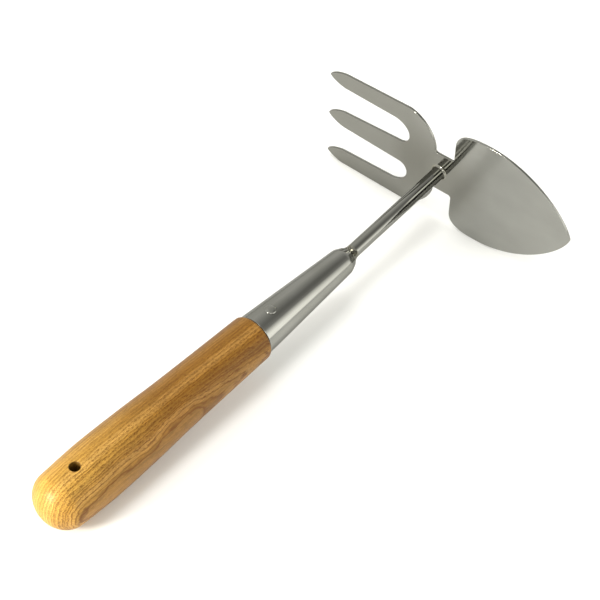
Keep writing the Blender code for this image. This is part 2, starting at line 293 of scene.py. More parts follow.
# %% A lathe in Geometry Nodes
SPINDLE_R = 0.05 * MM
MEET_WITHIN = 0.002 * MM


def lathe_tree():
    tree = bpy.data.node_groups.new("lathe", "GeometryNodeTree")
    for name, kind in (("Profile", "Geometry"), ("Sides", "Int"), ("Finish", "Material")):
        tree.interface.new_socket(name, in_out="INPUT", socket_type="NodeSocket" + kind)
    tree.interface.new_socket("Turned piece", in_out="OUTPUT", socket_type="NodeSocketGeometry")
    given = add(tree, "NodeGroupInput").outputs
    profile = add(tree, "GeometryNodeMeshToCurve", {"Mesh": given["Profile"]}).outputs["Curve"]
    circle = {"Resolution": given["Sides"], "Radius": SPINDLE_R}
    spindle = add(tree, "GeometryNodeCurvePrimitiveCircle", circle).outputs["Curve"]
    sweep = {"Curve": spindle, "Profile Curve": profile}
    piece = add(tree, "GeometryNodeCurveToMesh", sweep).outputs["Mesh"]
    for kind, settings in (
        ("GeometryNodeMergeByDistance", {"Distance": MEET_WITHIN}),
        ("GeometryNodeSetShadeSmooth", {"Shade Smooth": True}),
        ("GeometryNodeRealizeInstances", {}),
        ("GeometryNodeSetMaterial", {"Material": given["Finish"]}),
    ):
        piece = add(tree, kind, {"Geometry": piece, **settings}).outputs["Geometry"]
    add(tree, "NodeGroupOutput", {0: piece})
    return tree


lathe = lathe_tree()
print("lathe nodes:", len(lathe.nodes))

# %% Running a tree on an object


def evaluated(ob, tree, **values):
    """Run a tree on an object, keep what it makes as the object's plain mesh, and drop the tree."""
    modifier = ob.modifiers.new(tree.name, "NODES")
    modifier.node_group = tree
    for item in tree.interface.items_tree:
        if item.in_out == "INPUT" and item.name in values:
            modifier[item.identifier] = values[item.name]
    depsgraph = bpy.context.evaluated_depsgraph_get()
    mesh = bpy.data.meshes.new_from_object(ob.evaluated_get(depsgraph))
    ob.modifiers.remove(modifier)
    mesh.name = ob.name
    ob.data = mesh
    return ob


print("the lathe asks for", [i.name for i in lathe.interface.items_tree if i.in_out == "INPUT"])

# %% Turning one piece
Z_TO_X = Matrix.Rotation(0.5 * math.pi, 4, "Y")
SHARP_FROM = math.radians(32.0)


def face_outward(ob):
    """Sweeping can turn a shape inside out, so its faces are pointed outwards again."""
    bm = bmesh.new()
    bm.from_mesh(ob.data)
    bmesh.ops.recalc_face_normals(bm, faces=bm.faces)
    bm.to_mesh(ob.data)
    bm.free()


def turned(name, outline, sides, finish, place, ring=False):
    """Turn (along, radius) points about the X axis of a place matrix. A ring's outline closes."""
    bm = bmesh.new()
    corners = [bm.verts.new((radius - SPINDLE_R, -along, 0.0)) for along, radius in outline]
    for a, b in zip(corners, corners[1:]):
        bm.edges.new((a, b))
    if ring:
        bm.edges.new((corners[-1], corners[0]))
    ob = evaluated(new_object(name, bm), lathe, Sides=sides, Finish=finish)
    ob.data.transform(place @ Z_TO_X)
    face_outward(ob)
    ob.data.set_sharp_from_angle(angle=SHARP_FROM)
    return ob


print("edges are sharp from", round(math.degrees(SHARP_FROM)), "degrees")

# %% [markdown]
# ## How the grip leans
#
# The grip and ferrule lean two degrees from the shank, about a point inside the ferrule, which is
# how a bent tang usually ends up. So both get a place of their own, worked out from the tool's,
# and the wood's grain and the tube's polishing lines follow it.

# %% The grip's line
SHANK_LONG = 86.5 * MM
SET_ANGLE = math.radians(2.1)
SET_POINT = 10.7 * MM
set_point = Vector((-SHANK_LONG - SET_POINT, 0.0, 0.0))
lean = Matrix.Rotation(-SET_ANGLE, 4, "Z")
grip_line = tool @ Matrix.Translation(set_point) @ lean @ Matrix.Translation(-set_point)
print("grip leans", round(math.degrees(SET_ANGLE), 2), "degrees")

# %% [markdown]
# ## Polished stainless steel
#
# The metal is chromium steel, the 18/10 kind of cutlery and garden tools, ground and then
# polished. The eye reads it by its reflections: they are nearly sharp, slightly smeared along the
# polishing lines, with a faint cloudiness. A metallic Principled shader does it, and only the
# colour, the roughness and a very shallow bump change over the surface.

# %% Patterns sized in millimetres


def pattern_space(tree, place, cell_mm):
    """Coordinates in a piece's own axes, counted in pattern cells of the given size in mm."""
    coordinates = add(tree, "ShaderNodeTexCoord").outputs["Object"]
    axes = {"Vector": coordinates, "Location": place.translation, "Rotation": place.to_euler()}
    axes["Scale"] = Vector(cell_mm) * MM
    return add(tree, "ShaderNodeMapping", axes, vector_type="TEXTURE").outputs["Vector"]


def uneven(tree, place, cell_mm, detail, roughness=0.5):
    """A value that varies in patches of the given size in mm along a piece's own axes."""
    where = pattern_space(tree, place, cell_mm)
    patches = {"Vector": where, "Scale": 1.0, "Detail": detail, "Roughness": roughness}
    return add(tree, "ShaderNodeTexNoise", patches).outputs["Fac"]


print("patterns are sized in units of", MM, "m")

# %% Shares and colours
# Nearly all of a noise lies between these two values.
NOISE_MIDDLE = (0.3, 0.7)


def stepped(tree, value, low, high, low_to=0.0, high_to=1.0):
    """Map low..high to low_to..high_to, and stay there outside."""
    ends = {"Value": value, "From Min": low, "From Max": high, "To Min": low_to, "To Max": high_to}
    return add(tree, "ShaderNodeMapRange", ends).outputs["Result"]


def layered(tree, ground, layers):
    """Lay colours over a ground, each given as its share from 0 to 1 and its hex value."""
    for share, tone in layers:
        mixed = {"Factor": share, "A": ground, "B": linear(tone)}
        ground = add(tree, "ShaderNodeMix", mixed, data_type="RGBA").outputs["Result"]
    return ground


print("a noise is read between", NOISE_MIDDLE)

# %% Polished steel
# Metal mirrors more at a glancing angle. This grey tint holds it back there, as on the real rims.
RIM_TINT = 0.5


def polished_steel(name, colours, roughness, place, lay_mm, cloud_mm, depth_mm, tint_and_shade=None):
    """colours are the steel's own and that of its clouds, and roughness is its range. lay_mm is
    the size of one polishing line along X, Y and Z of a place, cloud_mm that of a cloud, and
    depth_mm how deep the lines are. The last argument, if given, is a function that adds nodes for
    a share, 0 to 1, of a darker colour, and that colour: on the sheet, heat tint and painted shade."""
    mat = bpy.data.materials.new(name)
    mat.use_nodes = True
    tree = mat.node_tree
    shader = tree.nodes["Principled BSDF"]
    shader.inputs["Metallic"].default_value = 1.0
    shader.inputs["Specular Tint"].default_value = (RIM_TINT, RIM_TINT, RIM_TINT, 1.0)
    lines = uneven(tree, place, lay_mm, detail=3.0, roughness=0.6)
    clouds = uneven(tree, place, cloud_mm, detail=2.0)
    layers = [(stepped(tree, clouds, *NOISE_MIDDLE), colours[1])]
    # An optional darker layer, which on the sheet is heat tint and painted shade.
    if tint_and_shade:
        layers.append(tint_and_shade(tree))
    tone = layered(tree, linear(colours[0]), layers)
    both = add(tree, "ShaderNodeMix", {"Factor": 0.5, "A": lines, "B": clouds}).outputs["Result"]
    rough = stepped(tree, both, *NOISE_MIDDLE, *roughness)
    bump = add(tree, "ShaderNodeBump", {"Height": lines, "Distance": depth_mm * MM}).outputs["Normal"]
    for value, socket in ((tone, "Base Color"), (rough, "Roughness"), (bump, "Normal")):
        tree.links.new(value, shader.inputs[socket])
    print(name, "has", len(tree.nodes), "nodes")
    return mat


# The ferrule's tube is spun and then polished in short strokes along it. To the eye it is a curved
# mirror, with long, slightly soft bands of the room.
tube_finish = polished_steel(
    "stainless_tube_polished",
    colours=("#979792", "#90908A"),
    roughness=(0.09, 0.15),
    place=grip_line,
    lay_mm=(12.0, 0.5, 0.5),
    cloud_mm=(20.0, 9.0, 9.0),
    depth_mm=0.0006,
)

# %% [markdown]
# ## The grip
#
# The grip is one turned piece: a swelling body, a domed butt, a rounded front and a tenon that
# fills the ferrule. Its sizes come first, because the wood's pattern is placed by them too.

# %% Ferrule and grip sizes
# The ferrule's taper comes first, because the grip's tenon fills it, less a gap that the solids
# keep between neighbours. R stands for a radius. The grip's front, where it meets the ferrule, is
# where the distances to its middle, rise, swell and butt start.
GAP = 0.3 * MM
SOCKET_SHOULDER = 4.0 * MM
SOCKET_TAPER = 72.2 * MM
SOCKET_MOUTH_R = 12.15 * MM
SOCKET_NECK_R = 7.95 * MM
SOCKET_WALL = 1.2 * MM
GRIP_FRONT_R = 13.3 * MM
GRIP_FRONT_ROUND = 1.6 * MM
GRIP_MID = 59.0 * MM
GRIP_MID_R = 14.8 * MM
GRIP_RISE = 89.0 * MM
GRIP_RISE_R = 16.1 * MM
GRIP_SWELL = 116.0 * MM
GRIP_SWELL_R = 16.75 * MM
GRIP_BUTT = 140.0 * MM
GRIP_BUTT_R = 16.0 * MM
BUTT_DOME = 13.5 * MM
TENON_LONG = 50.7 * MM
HANG_HOLE = 23.5 * MM
HANG_HOLE_R = 3.0 * MM
HANG_HOLE_CHAMFER = 0.5 * MM
HANG_HOLE_FLARE = 1.1 * MM

socket_neck = SHANK_LONG + SOCKET_SHOULDER
socket_mouth = socket_neck + SOCKET_TAPER
grip_front = socket_mouth + GAP
butt_end = grip_front + GRIP_BUTT + BUTT_DOME
print("butt's end is", round(1000 * butt_end, 1), "mm behind the plate")

# %% [markdown]
# ## Oiled ash
#
# Ash is a ring-porous wood: each year starts with a band of large open pores and ends with dense,
# pale wood. Where the turned surface cuts the rings on edge they show as fine streaks, and where
# it runs along them they open into long arches. So the pattern is built as the tree is: rings
# through the whole solid and pores as thin tubes along the fibres. A surface pattern could not
# turn the corner at the butt, and this one does. The rings run along the grip and rise and fall
# a little, so the outer ones close into arches along its side. Years differ in width and
# paleness, and two short drawn lines say how. Past the last ring, in the middle of the arches,
# lies a plain core with hardly any pores. Real pores are about 0.25 mm wide. They are drawn
# 0.35 mm wide, because a finer dash would vanish at this distance.

# %% Where the rings lie
# How far the rings rise and fall, as (mm along from the grip's front, mm outward in the tree).
RING_RISE = [
    (-140.0, 0.1),
    (-128.0, 0.1),
    (-110.0, -0.15),
    (-97.0, 0.1),
    (-84.0, -0.8),
    (-74.0, -1.6),
    (-60.0, -1.95),
    (-56.0, -1.6),
    (-50.0, -0.7),
    (-36.0, -0.55),
    (-19.0, -0.35),
    (-5.0, -0.4),
]
# Where each of the last years starts, in mm outward, and how wide the older ones are.
YEAR_STARTS_MM = [1.3, 3.2, 5.05, 6.25, 8.2, 10.0, 10.9, 12.0, 13.2, 14.4, 15.5]
OLDER_YEAR_MM = 1.9
OLDER_YEARS = 10
CORE_MM = YEAR_STARTS_MM[-1]
# Half a turn about the grip's line puts the arches on the side that the camera sees.
GRAIN_TURN = math.pi

first_year = YEAR_STARTS_MM[0] - OLDER_YEARS * OLDER_YEAR_MM
year_lines = [(first_year, float(-OLDER_YEARS))]
year_lines += [(start, float(k)) for k, start in enumerate(YEAR_STARTS_MM)]
# The pattern starts at the grip's front, and its Y axis points straight out of the tree.
grain = grip_line @ Matrix.Translation((-grip_front, 0.0, 0.0)) @ Matrix.Rotation(GRAIN_TURN, 4, "X")
print("years in the grip:", OLDER_YEARS + len(YEAR_STARTS_MM))

# %% Drawn lines and products


def drawn_line(tree, value, points):
    """Read a smooth line through (value, result) points at a value. It stays level past its ends."""
    start, end = points[0][0], points[-1][0]
    low, high = (pick(result for _, result in points) for pick in (min, max))
    node = add(tree, "ShaderNodeFloatCurve", {"Value": stepped(tree, value, start, end)})
    line = node.mapping.curves[0].points
    spots = [((at - start) / (end - start), (result - low) / (high - low)) for at, result in points]
    line[0].location = spots[0]
    line[-1].location = spots[-1]
    for spot in spots[1:-1]:
        line.new(*spot)
    node.mapping.update()
    return stepped(tree, node.outputs[0], 0.0, 1.0, low, high)


def product(tree, *values):
    """Multiply values. Of shares from 0 to 1, the product is full only where all of them are."""
    result = values[0]
    for value in values[1:]:
        factors = {0: result, 1: value}
        result = add(tree, "ShaderNodeMath", factors, operation="MULTIPLY").outputs[0]
    return result


print("the rings' rise has", len(RING_RISE), "points")

# %% How far out in the tree
# A rule of four numbers says between which two values a change happens, and what it goes from and
# to. With two numbers it goes from 0 to 1. Places are in mm, outward in the tree (OUTWARD) or along
# the grip from its front (TO_FRONT, TO_BUTT), and all else is a share.
RISES_OUTWARD = (5.5, 11.0)
RISES_TO_FRONT = (-50.0, 0.0, 0.0, 1.5)
RIPPLE_CELL_MM = (8.0, 2.5, 2.5)
RIPPLE_MM = (-0.35, 0.35)


def tree_depth(tree, x, y):
    """How far out in the tree a point lies, in mm, with the rise and the ripple of its rings."""
    rise = product(tree, drawn_line(tree, x, RING_RISE), stepped(tree, y, *RISES_OUTWARD))
    front_rise = stepped(tree, x, *RISES_TO_FRONT)
    waves = uneven(tree, grain, RIPPLE_CELL_MM, detail=2.0)
    ripple = stepped(tree, waves, *NOISE_MIDDLE, *RIPPLE_MM)
    depth = y
    for operation, value in (("SUBTRACT", rise), ("SUBTRACT", front_rise), ("ADD", ripple)):
        depth = add(tree, "ShaderNodeMath", {0: depth, 1: value}, operation=operation).outputs[0]
    return depth


print("the rings ripple by", RIPPLE_MM, "mm")

# %% The year's first wood
# The first wood fades and is gone at these shares of a year, which are smaller in the arches.
ARCHES_MM = (11.0, 12.6)
FADES_FROM = (*ARCHES_MM, 0.35, 0.14)
GONE_FROM = (*ARCHES_MM, 0.8, 0.42)
SETS_IN = (0.0, 0.08)
OUTSIDE_CORE = (CORE_MM - 0.05, CORE_MM + 0.15, 1.0, 0.0)


def first_wood(tree, depth):
    """Where the year's first wood lies, with its large pores. It starts at once and ends softly.
    In the arches, where the rings are cut flat, it is a narrow line, and the core has none."""
    years = drawn_line(tree, depth, year_lines)
    year = add(tree, "ShaderNodeMath", {0: years}, operation="FRACT").outputs[0]
    starting = stepped(tree, year, *SETS_IN)
    fades_from = stepped(tree, depth, *FADES_FROM)
    gone_from = stepped(tree, depth, *GONE_FROM)
    fading = stepped(tree, year, gone_from, fades_from)
    return product(tree, starting, fading, stepped(tree, depth, *OUTSIDE_CORE))


print("the arches start", ARCHES_MM[0], "mm out")

# %% Pores
PORE_MM = (1.7, 0.35, 0.35)
# How wide a pore is in its cell, from late to first wood, what the last years take off that, how
# soft its edge is, and how well it shows from the inner years outward.
PORE_WIDE = (0.0, 1.0, 0.3, 0.5)
CLOSES_OUTWARD = (13.4, 14.4, 0.0, 0.3)
PORE_EDGE = (-0.04, 0.14)
DEEPENS_OUTWARD = (-3.0, 3.0, 0.45, 1.0)


def open_pores(tree, depth, early):
    """Where a pore is cut open: thin tubes along the fibres, wide in the year's first wood."""
    cells = {"Vector": pattern_space(tree, grain, PORE_MM), "Scale": 1.0}
    from_middle = add(tree, "ShaderNodeTexVoronoi", cells).outputs["Distance"]
    inside = stepped(tree, early, *PORE_WIDE)
    for value in (stepped(tree, depth, *CLOSES_OUTWARD), from_middle):
        inside = add(tree, "ShaderNodeMath", {0: inside, 1: value}, operation="SUBTRACT").outputs[0]
    return product(tree, stepped(tree, inside, *PORE_EDGE), stepped(tree, depth, *DEEPENS_OUTWARD))


print("ash pores are drawn", PORE_MM[1], "mm wide")

# %% Wood between the rings
BUTT_TONE = "#B58B3D"
# Towards the front the wood darkens to this tone. This is partly its own colour and partly painted
# shade for the light that falls off away from the butt.
FRONT_TONE = "#82591B"
# Painted shade in a browner tone, towards the butt, on the side turned away from the lamp beside it.
SHADE_TURNED_AWAY_TONE = "#8A5A14"
CORE_TONE = "#86602A"
# The palest years take this whiter tone. It is paler wood, and partly a painted sheen where those
# years run along the grip's top.
PALE_WOOD_AND_SHEEN_TONE = "#C9A566"
DARKER_TO_FRONT = (-140.0, -70.0)
SHADE_TURNED_AWAY_OUTWARD = (9.0, 12.0)
SHADE_TURNED_AWAY_TO_BUTT = (-50.0, -80.0, 0.0, 0.4)
CORE_SHARE = (CORE_MM - 0.05, CORE_MM + 0.15, 0.0, 0.75)
PALE_WOOD_AND_SHEEN_SHARE = (1.0, 1.1, 0.0, 0.18)
# How pale the wood of each year is, as (mm outward, brightness).
PALENESS = [
    (-9.0, 0.92),
    (-6.5, 1.05),
    (-4.0, 1.02),
    (-2.0, 0.97),
    (0.0, 1.01),
    (1.5, 1.08),
    (3.2, 1.09),
    (5.0, 1.03),
    (8.0, 0.94),
    (11.0, 0.94),
    (12.6, 1.07),
    (14.2, 1.05),
    (15.2, 0.9),
    (16.0, 1.0),
]
# Each row: what varies, the size of one patch in mm, detail, roughness, darkest and palest.
UNEVEN_WOOD = [
    ("fibres", (18.0, 0.45, 0.45), 2.0, 0.7, 0.75, 1.3),
    ("patches", (60.0, 9.0, 9.0), 1.0, 0.5, 0.9, 1.08),
    ("grit", (1.3, 0.5, 0.5), 1.0, 0.5, 0.86, 1.14),
]


def ground_wood(tree, x, depth):
    """The wood's colour. It darkens towards the front, partly its own tone and partly painted shade
    for light falling off away from the butt. Towards the butt it has painted shade on the side
    turned away from the lamp beside it, and the palest years' whiter tone is partly a painted sheen.
    """
    paleness = drawn_line(tree, depth, PALENESS)
    # Painted shade on the side turned away from the lamp beside the butt.
    shade_turned_away = product(tree, stepped(tree, depth, *SHADE_TURNED_AWAY_OUTWARD), stepped(tree, x, *SHADE_TURNED_AWAY_TO_BUTT))
    layers = [
        (stepped(tree, x, *DARKER_TO_FRONT), FRONT_TONE),
        (shade_turned_away, SHADE_TURNED_AWAY_TONE),
        (stepped(tree, depth, *CORE_SHARE), CORE_TONE),
        (stepped(tree, paleness, *PALE_WOOD_AND_SHEEN_SHARE), PALE_WOOD_AND_SHEEN_TONE),
    ]
    shades = [paleness]
    for _, cell_mm, detail, roughness, darkest, palest in UNEVEN_WOOD:
        value = uneven(tree, grain, cell_mm, detail, roughness)
        shades.append(stepped(tree, value, *NOISE_MIDDLE, darkest, palest))
    shaded = {0: layered(tree, linear(BUTT_TONE), layers), "Scale": product(tree, *shades)}
    return add(tree, "ShaderNodeVectorMath", shaded, operation="SCALE").outputs["Vector"]


print("the wood varies by its", [row[0] for row in UNEVEN_WOOD])

# %% Dark rings
BROKEN_CELL_MM = (22.0, 2.0, 2.0)
BROKEN_TO = (0.35, 1.0)
WHOLE_IN_ARCHES = (*ARCHES_MM, 0.0, 0.85)
DARKER_OUTWARD = (4.0, 12.0, 0.3, 0.62)
STRONGER_TO_FRONT = (-90.0, -60.0, 1.35, 1.6)
RIM_OUTWARD = (CORE_MM - 0.5, CORE_MM - 0.1, 0.0, 0.95)
# How far out the rim ends, in mm, at either end of the core's tip.
RIM_ENDS_TO_FRONT = (-147.0, -137.0, CORE_MM + 1.4, CORE_MM + 0.2)


def dark_rings(tree, x, depth, early):
    """How dark the rings are. They are broken along the fibres, but nearly whole in the arches.
    The last is a dark rim round the core, and fills the core's tip at the butt."""
    parts = uneven(tree, grain, BROKEN_CELL_MM, detail=1.0)
    broken = stepped(tree, parts, *NOISE_MIDDLE, *BROKEN_TO)
    either = {0: broken, 1: stepped(tree, depth, *WHOLE_IN_ARCHES)}
    whole = add(tree, "ShaderNodeMath", either, operation="MAXIMUM").outputs[0]
    outward = stepped(tree, depth, *DARKER_OUTWARD)
    rings = product(tree, early, outward, whole, stepped(tree, x, *STRONGER_TO_FRONT))
    rim_ends = stepped(tree, x, *RIM_ENDS_TO_FRONT)
    rim = product(tree, stepped(tree, depth, *RIM_OUTWARD), stepped(tree, depth, rim_ends, CORE_MM))
    return add(tree, "ShaderNodeMath", {0: rings, 1: rim}, operation="MAXIMUM").outputs[0]


print("the core starts", CORE_MM, "mm out")

# %% The drilled wall
HOLE_PLACE_MM = ((grip_front - butt_end + HANG_HOLE) / MM, 0.0, 0.0)
HOLE_R_MM = HANG_HOLE_R / MM
# The hole's wall and mouth are darkened: end grain, deepened with painted shade inside the hole.
# In mm from the drill's line.
HOLE_WALL_DARKENS = (HOLE_R_MM + 0.3, HOLE_R_MM, 0.0, 0.7)


def drilled_wall(tree, x, y):
    """The hanging hole's wall is end grain, which soaks up oil and is darker, and it is darkened
    further with painted shade inside the hole.
    """
    across = add(tree, "ShaderNodeCombineXYZ", {"X": x, "Y": y}).outputs[0]
    hole = {0: across, 1: HOLE_PLACE_MM}
    from_drill = add(tree, "ShaderNodeVectorMath", hole, operation="DISTANCE").outputs["Value"]
    return stepped(tree, from_drill, *HOLE_WALL_DARKENS)


print("the hole's middle is", round(HOLE_PLACE_MM[0], 1), "mm along the grain")

# %% Oiled ash
# Turned, sanded and oiled ash looks dull and warm. Its open pores are rougher than the wood
# between them, and the thin film of oil adds a broad, soft sheen.
RING_TONE = "#6A3F06"
PORE_TONE = "#563006"
# The hole's wall darkens to this: end grain, and painted shade inside the hole.
HOLE_GRAIN_AND_SHADE_TONE = "#3A2206"
PORE_SHARE = 0.72
PORE_DEEP = 0.05 * MM
ROUGHNESS = (0.0, 1.0, 0.55, 0.78)


def oiled_ash():
    mat = bpy.data.materials.new("ash_turned_oiled")
    mat.use_nodes = True
    tree = mat.node_tree
    shader = tree.nodes["Principled BSDF"]
    shader.inputs["IOR"].default_value = 1.5
    shader.inputs["Specular IOR Level"].default_value = 0.14
    shader.inputs["Coat Weight"].default_value = 0.25
    shader.inputs["Coat Roughness"].default_value = 0.36

    in_mm = {0: pattern_space(tree, grain, (1.0, 1.0, 1.0))}
    x, y = add(tree, "ShaderNodeSeparateXYZ", in_mm).outputs[:2]
    depth = tree_depth(tree, x, y)
    early = first_wood(tree, depth)
    pores = open_pores(tree, depth, early)
    layers = [
        (dark_rings(tree, x, depth, early), RING_TONE),
        (product(tree, pores, PORE_SHARE), PORE_TONE),
        (drilled_wall(tree, x, y), HOLE_GRAIN_AND_SHADE_TONE),
    ]
    colour = layered(tree, ground_wood(tree, x, depth), layers)
    rough = stepped(tree, pores, *ROUGHNESS)
    sunk = stepped(tree, pores, 0.0, 1.0, 1.0, 0.0)
    dents = {"Height": sunk, "Distance": PORE_DEEP, "Strength": 0.6}
    bump = add(tree, "ShaderNodeBump", dents).outputs["Normal"]
    for value, socket in ((colour, "Base Color"), (rough, "Roughness"), (bump, "Normal")):
        tree.links.new(value, shader.inputs[socket])
    return mat


ash = oiled_ash()
print(ash.name, "has", len(ash.node_tree.nodes), "nodes")

# %% [markdown]
# ## Turning and drilling the grip
#
# Two rules draw the grip's outline: a quarter of a superellipse for a rounded end, and a smooth
# curve through stations for the swelling body. The lathe turns it, and the hanging hole is then
# drilled straight through with a Boolean, with a small bevel at both mouths, as a drill and a
# countersink leave.

# %% Rounded ends


def superarc(centre, axis_a, axis_b, steps, power=2.0, power_b=None):
    """A quarter of a superellipse, from the end of axis_a to the end of axis_b. A power of 2 gives
    an ellipse, and more gives a squarer one. power_b is for axis_b, where it differs."""
    points = []
    for i in range(steps + 1):
        turn = 0.5 * math.pi * i / steps
        a = math.cos(turn) ** (2.0 / power)
        b = math.sin(turn) ** (2.0 / (power_b or power))
        points.append(tuple(centre[k] + axis_a[k] * a + axis_b[k] * b for k in range(2)))
    return points


halfway = superarc((0.0, 0.0), (1.0, 0.0), (0.0, 1.0), steps=2)[1]
print("halfway along a quarter circle:", [round(c, 3) for c in halfway])

# %% A smooth curve


def smooth_curve(stations, steps):
    """A curve through (along, value) stations, in steps points a span, that never overshoots them."""
    slopes = [(b[1] - a[1]) / (b[0] - a[0]) for a, b in zip(stations, stations[1:])]
    tangents = [slopes[0]]
    for before, after in zip(slopes, slopes[1:]):
        tangents.append(0.0 if before * after <= 0.0 else 2.0 * before * after / (before + after))
    tangents.append(slopes[-1])
    points = []
    for k, (a, b) in enumerate(zip(stations, stations[1:])):
        wide = b[0] - a[0]
        for i in range(steps):
            t = i / steps
            value = a[1] * (2 * t**3 - 3 * t**2 + 1) + b[1] * (3 * t**2 - 2 * t**3)
            value += wide * tangents[k] * (t**3 - 2 * t**2 + t)
            value += wide * tangents[k + 1] * (t**3 - t**2)
            points.append((a[0] + wide * t, value))
    points.append(stations[-1])
    return points


print("a curve over one hill:", smooth_curve([(0.0, 0.0), (1.0, 1.0), (2.0, 0.0)], steps=2))

# %% Turn the grip


def socket_outside(back):
    return SOCKET_NECK_R + (SOCKET_MOUTH_R - SOCKET_NECK_R) * (back - socket_neck) / SOCKET_TAPER


def tenon_radius(back):
    return socket_outside(back) - SOCKET_WALL - GAP


def turned_grip():
    tenon_end = grip_front - TENON_LONG
    round_start = grip_front + GRIP_FRONT_ROUND
    outline = [(-tenon_end, 0.0), (-tenon_end, tenon_radius(tenon_end))]
    outline.append((-grip_front, tenon_radius(grip_front)))
    centre = (-round_start, GRIP_FRONT_R - GRIP_FRONT_ROUND)
    outline += superarc(centre, (GRIP_FRONT_ROUND, 0.0), (0.0, GRIP_FRONT_ROUND), steps=8)
    stations = [
        (-round_start, GRIP_FRONT_R),
        (-grip_front - GRIP_MID, GRIP_MID_R),
        (-grip_front - GRIP_RISE, GRIP_RISE_R),
        (-grip_front - GRIP_SWELL, GRIP_SWELL_R),
        (-grip_front - GRIP_BUTT, GRIP_BUTT_R),
    ]
    outline += smooth_curve(stations, steps=14)[1:]
    dome_start = (-grip_front - GRIP_BUTT, 0.0)
    dome = superarc(dome_start, (0.0, GRIP_BUTT_R), (-BUTT_DOME, 0.0), steps=24)
    outline += dome[1:-1] + [(-butt_end, 0.0)]
    return turned("ash_grip", outline, sides=128, finish=ash, place=grip_line)


grip = turned_grip()
print("the grip has", len(grip.data.polygons), "faces")

# %% Drill the hanging hole


def drill(target, cutter):
    """Take the cutter's shape out of the target and remove the cutter."""
    boolean = target.modifiers.new("drill", "BOOLEAN")
    boolean.operation = "DIFFERENCE"
    boolean.solver = "EXACT"
    boolean.object = cutter
    depsgraph = bpy.context.evaluated_depsgraph_get()
    mesh = bpy.data.meshes.new_from_object(target.evaluated_get(depsgraph))
    target.modifiers.remove(boolean)
    target.data = mesh
    bpy.data.objects.remove(cutter)


def hole_drill():
    """A drill as long as the grip is thick, with a cone at both ends for the countersunk mouths.
    It is of ash, as is the wall that it leaves."""
    reach = GRIP_SWELL_R + HANG_HOLE_CHAMFER
    mouth = [(-reach, 0.0), (-reach, HANG_HOLE_R + HANG_HOLE_FLARE)]
    mouth.append((-GRIP_SWELL_R + HANG_HOLE_CHAMFER, HANG_HOLE_R))
    outline = mouth + [(-x, r) for x, r in reversed(mouth)]
    upright = Matrix.Rotation(-0.5 * math.pi, 4, "Y")
    place = grip_line @ Matrix.Translation((-butt_end + HANG_HOLE, 0.0, 0.0)) @ upright
    return turned("hole_drill", outline, sides=48, finish=ash, place=place)


drill(grip, hole_drill())
grip.data.set_sharp_from_angle(angle=SHARP_FROM)
print("with its hole the grip has", len(grip.data.polygons), "faces")

# %% Hand the grip over


def hand_over(piece, node):
    """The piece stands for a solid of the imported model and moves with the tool. This also prints
    how far it goes past the solid's box along X, Y and Z."""
    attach(piece, "root")
    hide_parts(node)
    grew = []
    for k, (low, high) in enumerate(zip(*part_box(node))):
        along = [v.co[k] for v in piece.data.vertices]
        grew.append(round(1000 * max(low - min(along), max(along) - high), 2))
    print(piece.name, len(piece.data.polygons), "faces, beyond its solid by mm:", grew)


hand_over(grip, "wood_handle")

# %% [markdown]
# ## Ferrule and shank
#
# The ferrule is a tapered tube, spun down to a round shoulder round the bar. The shank is a plain
# drawn bar. Both come off the same lathe as the grip. The shoulder is the corner between two
# straight lines, so it is drawn as an arc that touches both, and no point of it is typed in.

# %% A corner between two lines


def rounded_corner(before, corner, after, radius, steps):
    """The arc of a radius that touches the lines from a corner to the points before and after."""
    here = Vector(corner)
    to_before = (Vector(before) - here).normalized()
    to_after = (Vector(after) - here).normalized()
    half_angle = 0.5 * to_before.angle(to_after)
    centre = here + (to_before + to_after).normalized() * radius / math.sin(half_angle)
    start = here + to_before * radius / math.tan(half_angle) - centre
    end = here + to_after * radius / math.tan(half_angle) - centre
    return [tuple(centre + radius * start.slerp(end, i / steps)) for i in range(steps + 1)]


corner_arc = rounded_corner((0.0, 1.0), (0.0, 0.0), (1.0, 0.0), radius=0.5, steps=2)
print("a rounded right angle:", [tuple(round(c, 3) for c in point) for point in corner_arc])

# %% Ferrule
SHANK_R = 4.0 * MM
SOCKET_NECK_ROUND = 8.0 * MM
SOCKET_LAND = 2.35 * MM
SOCKET_FLOOR = 9.5 * MM
MOUTH_ROUND = 0.4 * MM


def ferrule():
    floor_back = SHANK_LONG + SOCKET_FLOOR
    floor_r = socket_outside(floor_back) - SOCKET_WALL
    lip_centre = (-socket_mouth + MOUTH_ROUND, SOCKET_MOUTH_R - MOUTH_ROUND)
    mouth = (lip_centre[0], SOCKET_MOUTH_R)
    neck = (-socket_neck, SOCKET_NECK_R)
    end = (-SHANK_LONG, SHANK_R + SOCKET_LAND)
    outline = [(-socket_mouth, SOCKET_MOUTH_R - SOCKET_WALL), (-socket_mouth, lip_centre[1])]
    outline += superarc(lip_centre, (-MOUTH_ROUND, 0.0), (0.0, MOUTH_ROUND), steps=5)[1:]
    outline += rounded_corner(mouth, neck, end, SOCKET_NECK_ROUND, steps=14)
    outline += [end, (end[0], SHANK_R + GAP), (-floor_back, SHANK_R + GAP), (-floor_back, floor_r)]
    tube = {"sides": 128, "finish": tube_finish, "place": grip_line}
    return turned("polished_ferrule", outline, ring=True, **tube)


hand_over(ferrule(), "handle_socket")

# %% Shank
SHANK_TAIL = 6.5 * MM
SHANK_CHAMFER = 0.5 * MM
# Drawing a bar through a die leaves long, straight lines, so its highlights are thin and even.
bar_finish = polished_steel(
    "stainless_bar_drawn",
    colours=("#979792", "#8E8E88"),
    roughness=(0.09, 0.13),
    place=tool,
    lay_mm=(40.0, 0.6, 0.6),
    cloud_mm=(30.0, 6.0, 6.0),
    depth_mm=0.0004,
)


